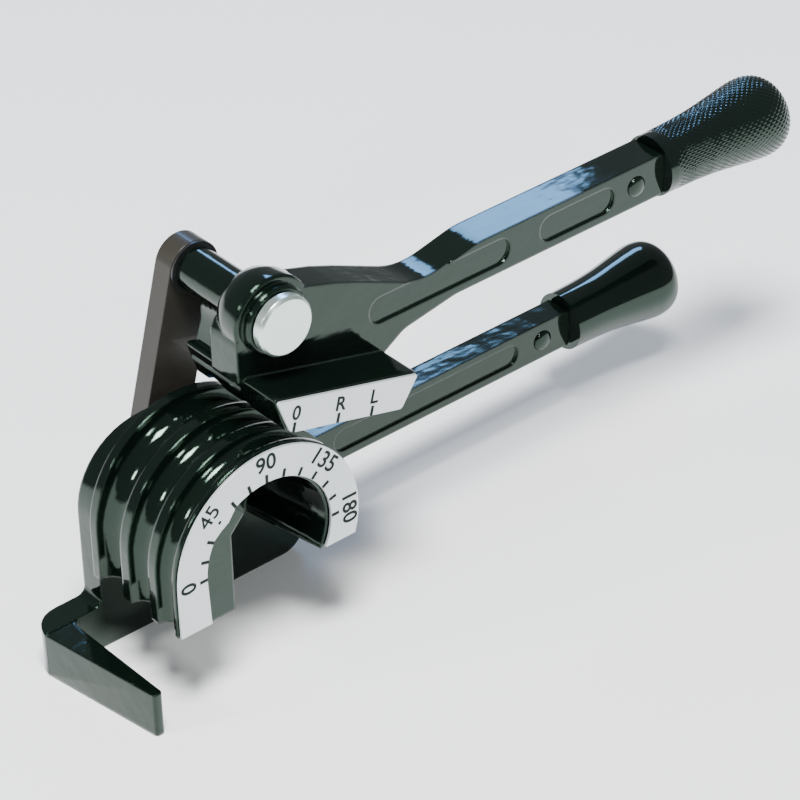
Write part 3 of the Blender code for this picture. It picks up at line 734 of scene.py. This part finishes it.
@dataclass
class Rivet:
    """Cross pin of a grip's shank, with the domed head that shows on the handle's front."""

    node: str
    head_radius: float = 2.9
    head_height: float = 1.1
    proud: float = 0.5
    around: int = 48
    dome_rows: int = 10

    def build(self, shop: Workshop) -> None:
        """Turns the pin's side and a quarter ellipse of head round the pin's axis along Y.

        Args:
            shop: Where the piece is put.
        """
        low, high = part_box(self.node)
        centre = (low + high) / 2
        shank = (high.x - low.x) / 2
        face = low.y + self.proud * MM
        turn = np.linspace(0, math.pi / 2, self.dome_rows)[:-1]
        head = np.stack((np.cos(turn) * self.head_radius, -np.sin(turn) * self.head_height), -1) * MM
        side = np.array(((shank, high.y - face), (shank, 0.0)))
        outline = np.vstack((side, head))
        angle = np.linspace(0, 2 * math.pi, self.around, endpoint=False)
        rows = np.stack(
            (
                centre.x + outline[:, :1] * np.cos(angle),
                np.repeat(face + outline[:, 1:], self.around, 1),
                centre.z + outline[:, :1] * np.sin(angle),
            ),
            -1,
        )
        tip = face - self.head_height * MM
        ends = np.array(((centre.x, high.y, centre.z), (centre.x, tip, centre.z)))
        mesh = turned_mesh(rows, ends, f"{self.node}_head")
        piece = shop.add(f"{self.node}_finished", mesh, shop.body_of(self.node), ENAMEL)
        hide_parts(self.node)


@dataclass
class ShoeLine:
    """The shoe plate's lower edge, tangent to the die at the resting bend angle."""

    bend_degrees: float = 104.8
    edge_out: float = 30.1

    def tilt(self) -> float:
        """Turn of the edge in the front plane, anticlockwise in radians."""
        return math.radians(90 - self.bend_degrees)

    def at(self, along: float, above: float) -> np.ndarray:
        """Finds a point from its distances along the edge and above it.

        Args:
            along: Distance along the edge in millimetres.
            above: Distance above the edge in millimetres.

        Returns:
            X and Z in tool millimetres.
        """
        tilt = self.tilt()
        forward = np.array((math.cos(tilt), math.sin(tilt)))
        outward = np.array((-math.sin(tilt), math.cos(tilt)))
        return forward * along + outward * (self.edge_out + above)


@dataclass
class Marks:
    """Ticks and generic digits on the degree plate and the shoe plate."""

    inner_radius: float = 18.8
    tick_inset: float = 0.1
    tick_end: float = 21.1
    tick_width: float = 0.85
    tick_step: int = 15
    last_tick: int = 180
    dot_degrees: int = 45
    dot_span: tuple[float, float] = (19.9, 20.6)
    dot_width: float = 0.9
    digits: tuple[int, ...] = (0, 45, 90, 135, 180)
    digit_radius: float = 24.2
    digit_height: float = 4.3
    digit_weight: float = 0.10
    closed_digit: str = "4"
    capital_share: float = 0.7
    curve_steps: int = 4
    bevel_steps: int = 1
    proud: float = 0.06
    sunk: float = 0.02
    shoe_letters: tuple[tuple[str, float], ...] = (("0", 0.7), ("R", 14.4), ("L", 25.0))
    shoe_letter_height: float = 3.7
    shoe_letter_middle: float = 5.3
    shoe_tick_span: tuple[float, float] = (0.4, 3.0)

    def outward(self, degrees: Any) -> np.ndarray:
        """Finds which way readings of the scale lie from the die's axis: 0 is left and 90 is up.

        Args:
            degrees: One reading or an array of readings.

        Returns:
            Unit vectors, X and Z.
        """
        turn = np.radians(degrees)
        return np.stack((-np.cos(turn), np.sin(turn)), -1)

    def bars(self, lines: np.ndarray, front: float, width: float, name: str) -> bpy.types.Mesh:
        """Thin boxes along lines in the front plane.

        Each box has the line's two ends, moved to both sides by half its width at right angles, once
        a little behind the plate's face and once a little proud of it.

        Args:
            lines: Array (n, 2, 2) of ends in tool millimetres.
            front: The plate's front plane, in tool millimetres.
            width: Width of each bar.
            name: Mesh name.

        Returns:
            One mesh that holds all the bars.
        """
        heading = lines[:, 1] - lines[:, 0]
        heading /= np.linalg.norm(heading, axis=1, keepdims=True)
        side = np.stack((-heading[:, 1], heading[:, 0]), -1)[:, None, :] * width / 2
        loop = np.concatenate((lines - side, (lines + side)[:, ::-1]), 1)
        depths = (front - self.proud, front + self.sunk)
        points = to_row(np.concatenate([np.insert(loop, 1, depth, axis=2) for depth in depths], 1))
        box = np.array(
            ((0, 1, 2, 3), (7, 6, 5, 4), (0, 4, 5, 1), (1, 5, 6, 2), (2, 6, 7, 3), (3, 7, 4, 0))
        )
        corners = loop.shape[1] * len(depths)
        faces = (np.arange(len(lines))[:, None, None] * corners + box).reshape(-1, 4)
        return closed_mesh(points.reshape(-1, 3), faces.tolist(), name)

    def word(
        self, text: str, place: np.ndarray, turn: float, height: float, front: float
    ) -> bpy.types.Mesh:
        """A digit group as a thin mesh that faces the front.

        Args:
            text: What it reads.
            place: Middle, X and Z in tool millimetres.
            turn: Turn in the front plane in radians, anticlockwise.
            height: Height of the characters in millimetres.
            front: The plate's front plane in tool millimetres.

        Returns:
            The mesh in the row frame.
        """
        curve = bpy.data.curves.new(f"text_{text}", "FONT")
        curve.body = text
        curve.align_x = "CENTER"
        curve.align_y = "CENTER"
        curve.size = height * MM / self.capital_share
        curve.resolution_u = self.curve_steps
        if self.closed_digit in text:
            # An offset would fill the triangle inside a 4, so its strokes grow by a bevel instead.
            curve.bevel_depth = self.proud * MM
            curve.bevel_resolution = self.bevel_steps
        else:
            curve.extrude = self.proud * MM
            curve.offset = self.digit_weight * MM
        holder = linked(f"text_{text}", curve)
        bpy.context.view_layer.update()
        graph = bpy.context.evaluated_depsgraph_get()
        mesh = bpy.data.meshes.new_from_object(holder.evaluated_get(graph))
        bpy.data.objects.remove(holder)
        spot = Vector(to_row((place[0], front, place[1])))
        facing = Matrix.Rotation(-turn, 4, "Y") @ Matrix.Rotation(math.radians(90), 4, "X")
        mesh.transform(Matrix.Translation(spot) @ facing)
        return mesh

    def tick_lines(self) -> np.ndarray:
        """Radial lines from 0 on the left over the top to 180 on the right, but for the dot's.

        Returns:
            Array (n, 2, 2) of ends in tool millimetres.
        """
        steps = range(0, self.last_tick + 1, self.tick_step)
        outward = self.outward([step for step in steps if step != self.dot_degrees])
        start = outward * (self.inner_radius + self.tick_inset)
        return np.stack((start, outward * self.tick_end), 1)

    def build(self, shop: Workshop) -> None:
        """Adds the marks of both plates.

        Args:
            shop: Where the pieces are put.
        """
        low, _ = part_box("degree_plate")
        self.dial_marks(shop, front_of(low))
        low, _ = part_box("shoe_plate")
        self.shoe_marks(shop, front_of(low), ShoeLine())

    def dial_marks(self, shop: Workshop, front: float) -> None:
        """Adds the scale's ticks, the dot that stands for one of them, and the digits.

        Args:
            shop: Where the pieces are put.
            front: The plate's front plane in tool millimetres.
        """
        ticks = self.bars(self.tick_lines(), front, self.tick_width, "degree_ticks")
        shop.add("degree_ticks", ticks, "frame", SCALE_INK)
        outward = self.outward(self.dot_degrees)
        dot = np.stack([outward * reach for reach in self.dot_span])[None]
        shop.add("degree_dot_45", self.bars(dot, front, self.dot_width, "dot"), "frame", SCALE_INK)
        for degrees in self.digits:
            place = self.outward(degrees) * self.digit_radius
            turn = math.radians(90 - degrees)
            mesh = self.word(str(degrees), place, turn, self.digit_height, front)
            shop.add(f"degree_digits_{degrees}", mesh, "frame", SCALE_INK)

    def shoe_marks(self, shop: Workshop, front: float, line: ShoeLine) -> None:
        """Adds ticks up from the shoe plate's lower edge and one letter over each.

        Args:
            shop: Where the pieces are put.
            front: The plate's front plane in tool millimetres.
            line: The plate's lower edge.
        """
        low, high = self.shoe_tick_span
        ends = [[line.at(along, low), line.at(along, high)] for _, along in self.shoe_letters]
        ticks = self.bars(np.array(ends), front, self.tick_width, "shoe_ticks")
        shop.add("shoe_ticks", ticks, "handle", SCALE_INK)
        for letter, along in self.shoe_letters:
            place = line.at(along, self.shoe_letter_middle)
            mesh = self.word(letter, place, line.tilt(), self.shoe_letter_height, front)
            shop.add(f"shoe_mark_{letter}", mesh, "handle", SCALE_INK)


@dataclass(frozen=True)
class Lamp:
    """A square area light: place and size in metres, power in watts."""

    name: str
    place: Place
    size: float
    power: float
    tint: Colour = WHITE

    def build(self, aim: Place) -> None:
        """Adds the light.

        Args:
            aim: The point it faces.
        """
        data = bpy.data.lights.new(self.name, "AREA")
        data.size = self.size
        data.energy = self.power
        data.color = self.tint
        light = linked(self.name, data)
        light.location = self.place
        heading = Vector(aim) - Vector(self.place)
        light.rotation_euler = heading.to_track_quat("-Z", "Y").to_euler()


@dataclass
class Studio:
    """Pale floor, lamps and the camera at the photograph's angle, in metres in the row frame.

    The lamps are small and one at the back is blue, for reflections like the photograph's. The lens
    and sensor are in millimetres.
    """

    floor_height: float = -0.02535
    floor_reach: float = 6.0
    floor_shades: tuple[Colour, Colour] = ((0.86, 0.87, 0.87), (0.90, 0.90, 0.90))
    floor_roughness: float = 0.8
    sky_colour: Colour = (0.90, 0.95, 1.0)
    sky_strength: float = 0.30
    aim: Place = (-0.05, -0.03, 0.03)
    lamps: tuple[Lamp, ...] = (
        Lamp("overhead", (-0.4, -0.5, 1.8), 0.55, 88.0),
        Lamp("blue_back", (0.62, 0.80, 0.80), 0.27, 3.6, (0.25, 0.50, 1.0)),
        Lamp("left_edge", (-0.75, 0.20, 0.40), 0.12, 3.5),
        Lamp("front_spark", (-0.15, -0.90, 0.55), 0.10, 2.5),
    )
    lens: float = 166.5
    sensor_width: float = 36.0
    clip_start: float = 0.01
    clip_end: float = 50.0
    camera_place: Place = (-0.5099, -0.6050, 0.53775)
    right: Place = (0.756, -0.642, -0.023)
    back: Place = (-0.5206, -0.633, 0.5655)

    def floor(self) -> None:
        """A wide flat floor just under the object."""
        material = bpy.data.materials.new("pale_floor")
        sheet = NodeSheet(material)
        shade = sheet.mix(sheet.noise(FLOOR_CLOUDS), *self.floor_shades)
        sheet.feed(sheet.shader.inputs["Base Color"], shade)
        sheet.shader.inputs["Roughness"].default_value = self.floor_roughness
        corners = np.array(((-1, -1), (1, -1), (1, 1), (-1, 1))) * self.floor_reach
        points = np.insert(corners, 2, self.floor_height, axis=1)
        mesh = bpy.data.meshes.new("floor")
        mesh.from_pydata(points.tolist(), [], [(0, 1, 2, 3)])
        mesh.materials.append(material)
        ground = linked("floor", mesh)

    def sky(self) -> None:
        """A plain pale sky on all sides."""
        world = bpy.data.worlds.new("soft_white")
        world.use_nodes = True
        background = world.node_tree.nodes["Background"].inputs
        background["Color"].default_value = (*self.sky_colour, 1.0)
        background["Strength"].default_value = self.sky_strength
        bpy.context.scene.world = world

    def camera(self) -> None:
        """A camera whose axes are the photograph's fitted ones."""
        data = bpy.data.cameras.new("camera")
        data.lens = self.lens
        data.sensor_width = self.sensor_width
        data.clip_start = self.clip_start
        data.clip_end = self.clip_end
        holder = linked("camera", data)
        back = Vector(self.back).normalized()
        right = (Vector(self.right) - back * Vector(self.right).dot(back)).normalized()
        up = back.cross(right)
        turn = Matrix((right, up, back)).transposed().to_4x4()
        holder.matrix_world = Matrix.Translation(Vector(self.camera_place)) @ turn
        bpy.context.scene.camera = holder

    def build(self) -> None:
        """Sets floor, sky, lamps and camera."""
        self.floor()
        self.sky()
        for lamp in self.lamps:
            lamp.build(self.aim)
        self.camera()


def main() -> None:
    """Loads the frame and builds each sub-assembly in order."""
    logging.basicConfig(level=logging.INFO, format="%(name)s: %(message)s")
    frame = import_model()
    shop = Workshop(frame)
    Castings().build(shop)
    Plates().build(shop)
    Hardware().build(shop)
    Grip("upper_grip", knurled=True, around=352, steps=16).build(shop)
    Grip("lower_grip", knurled=False).build(shop)
    Marks().build(shop)
    Studio().build()


if __name__ == "__main__":
    main()
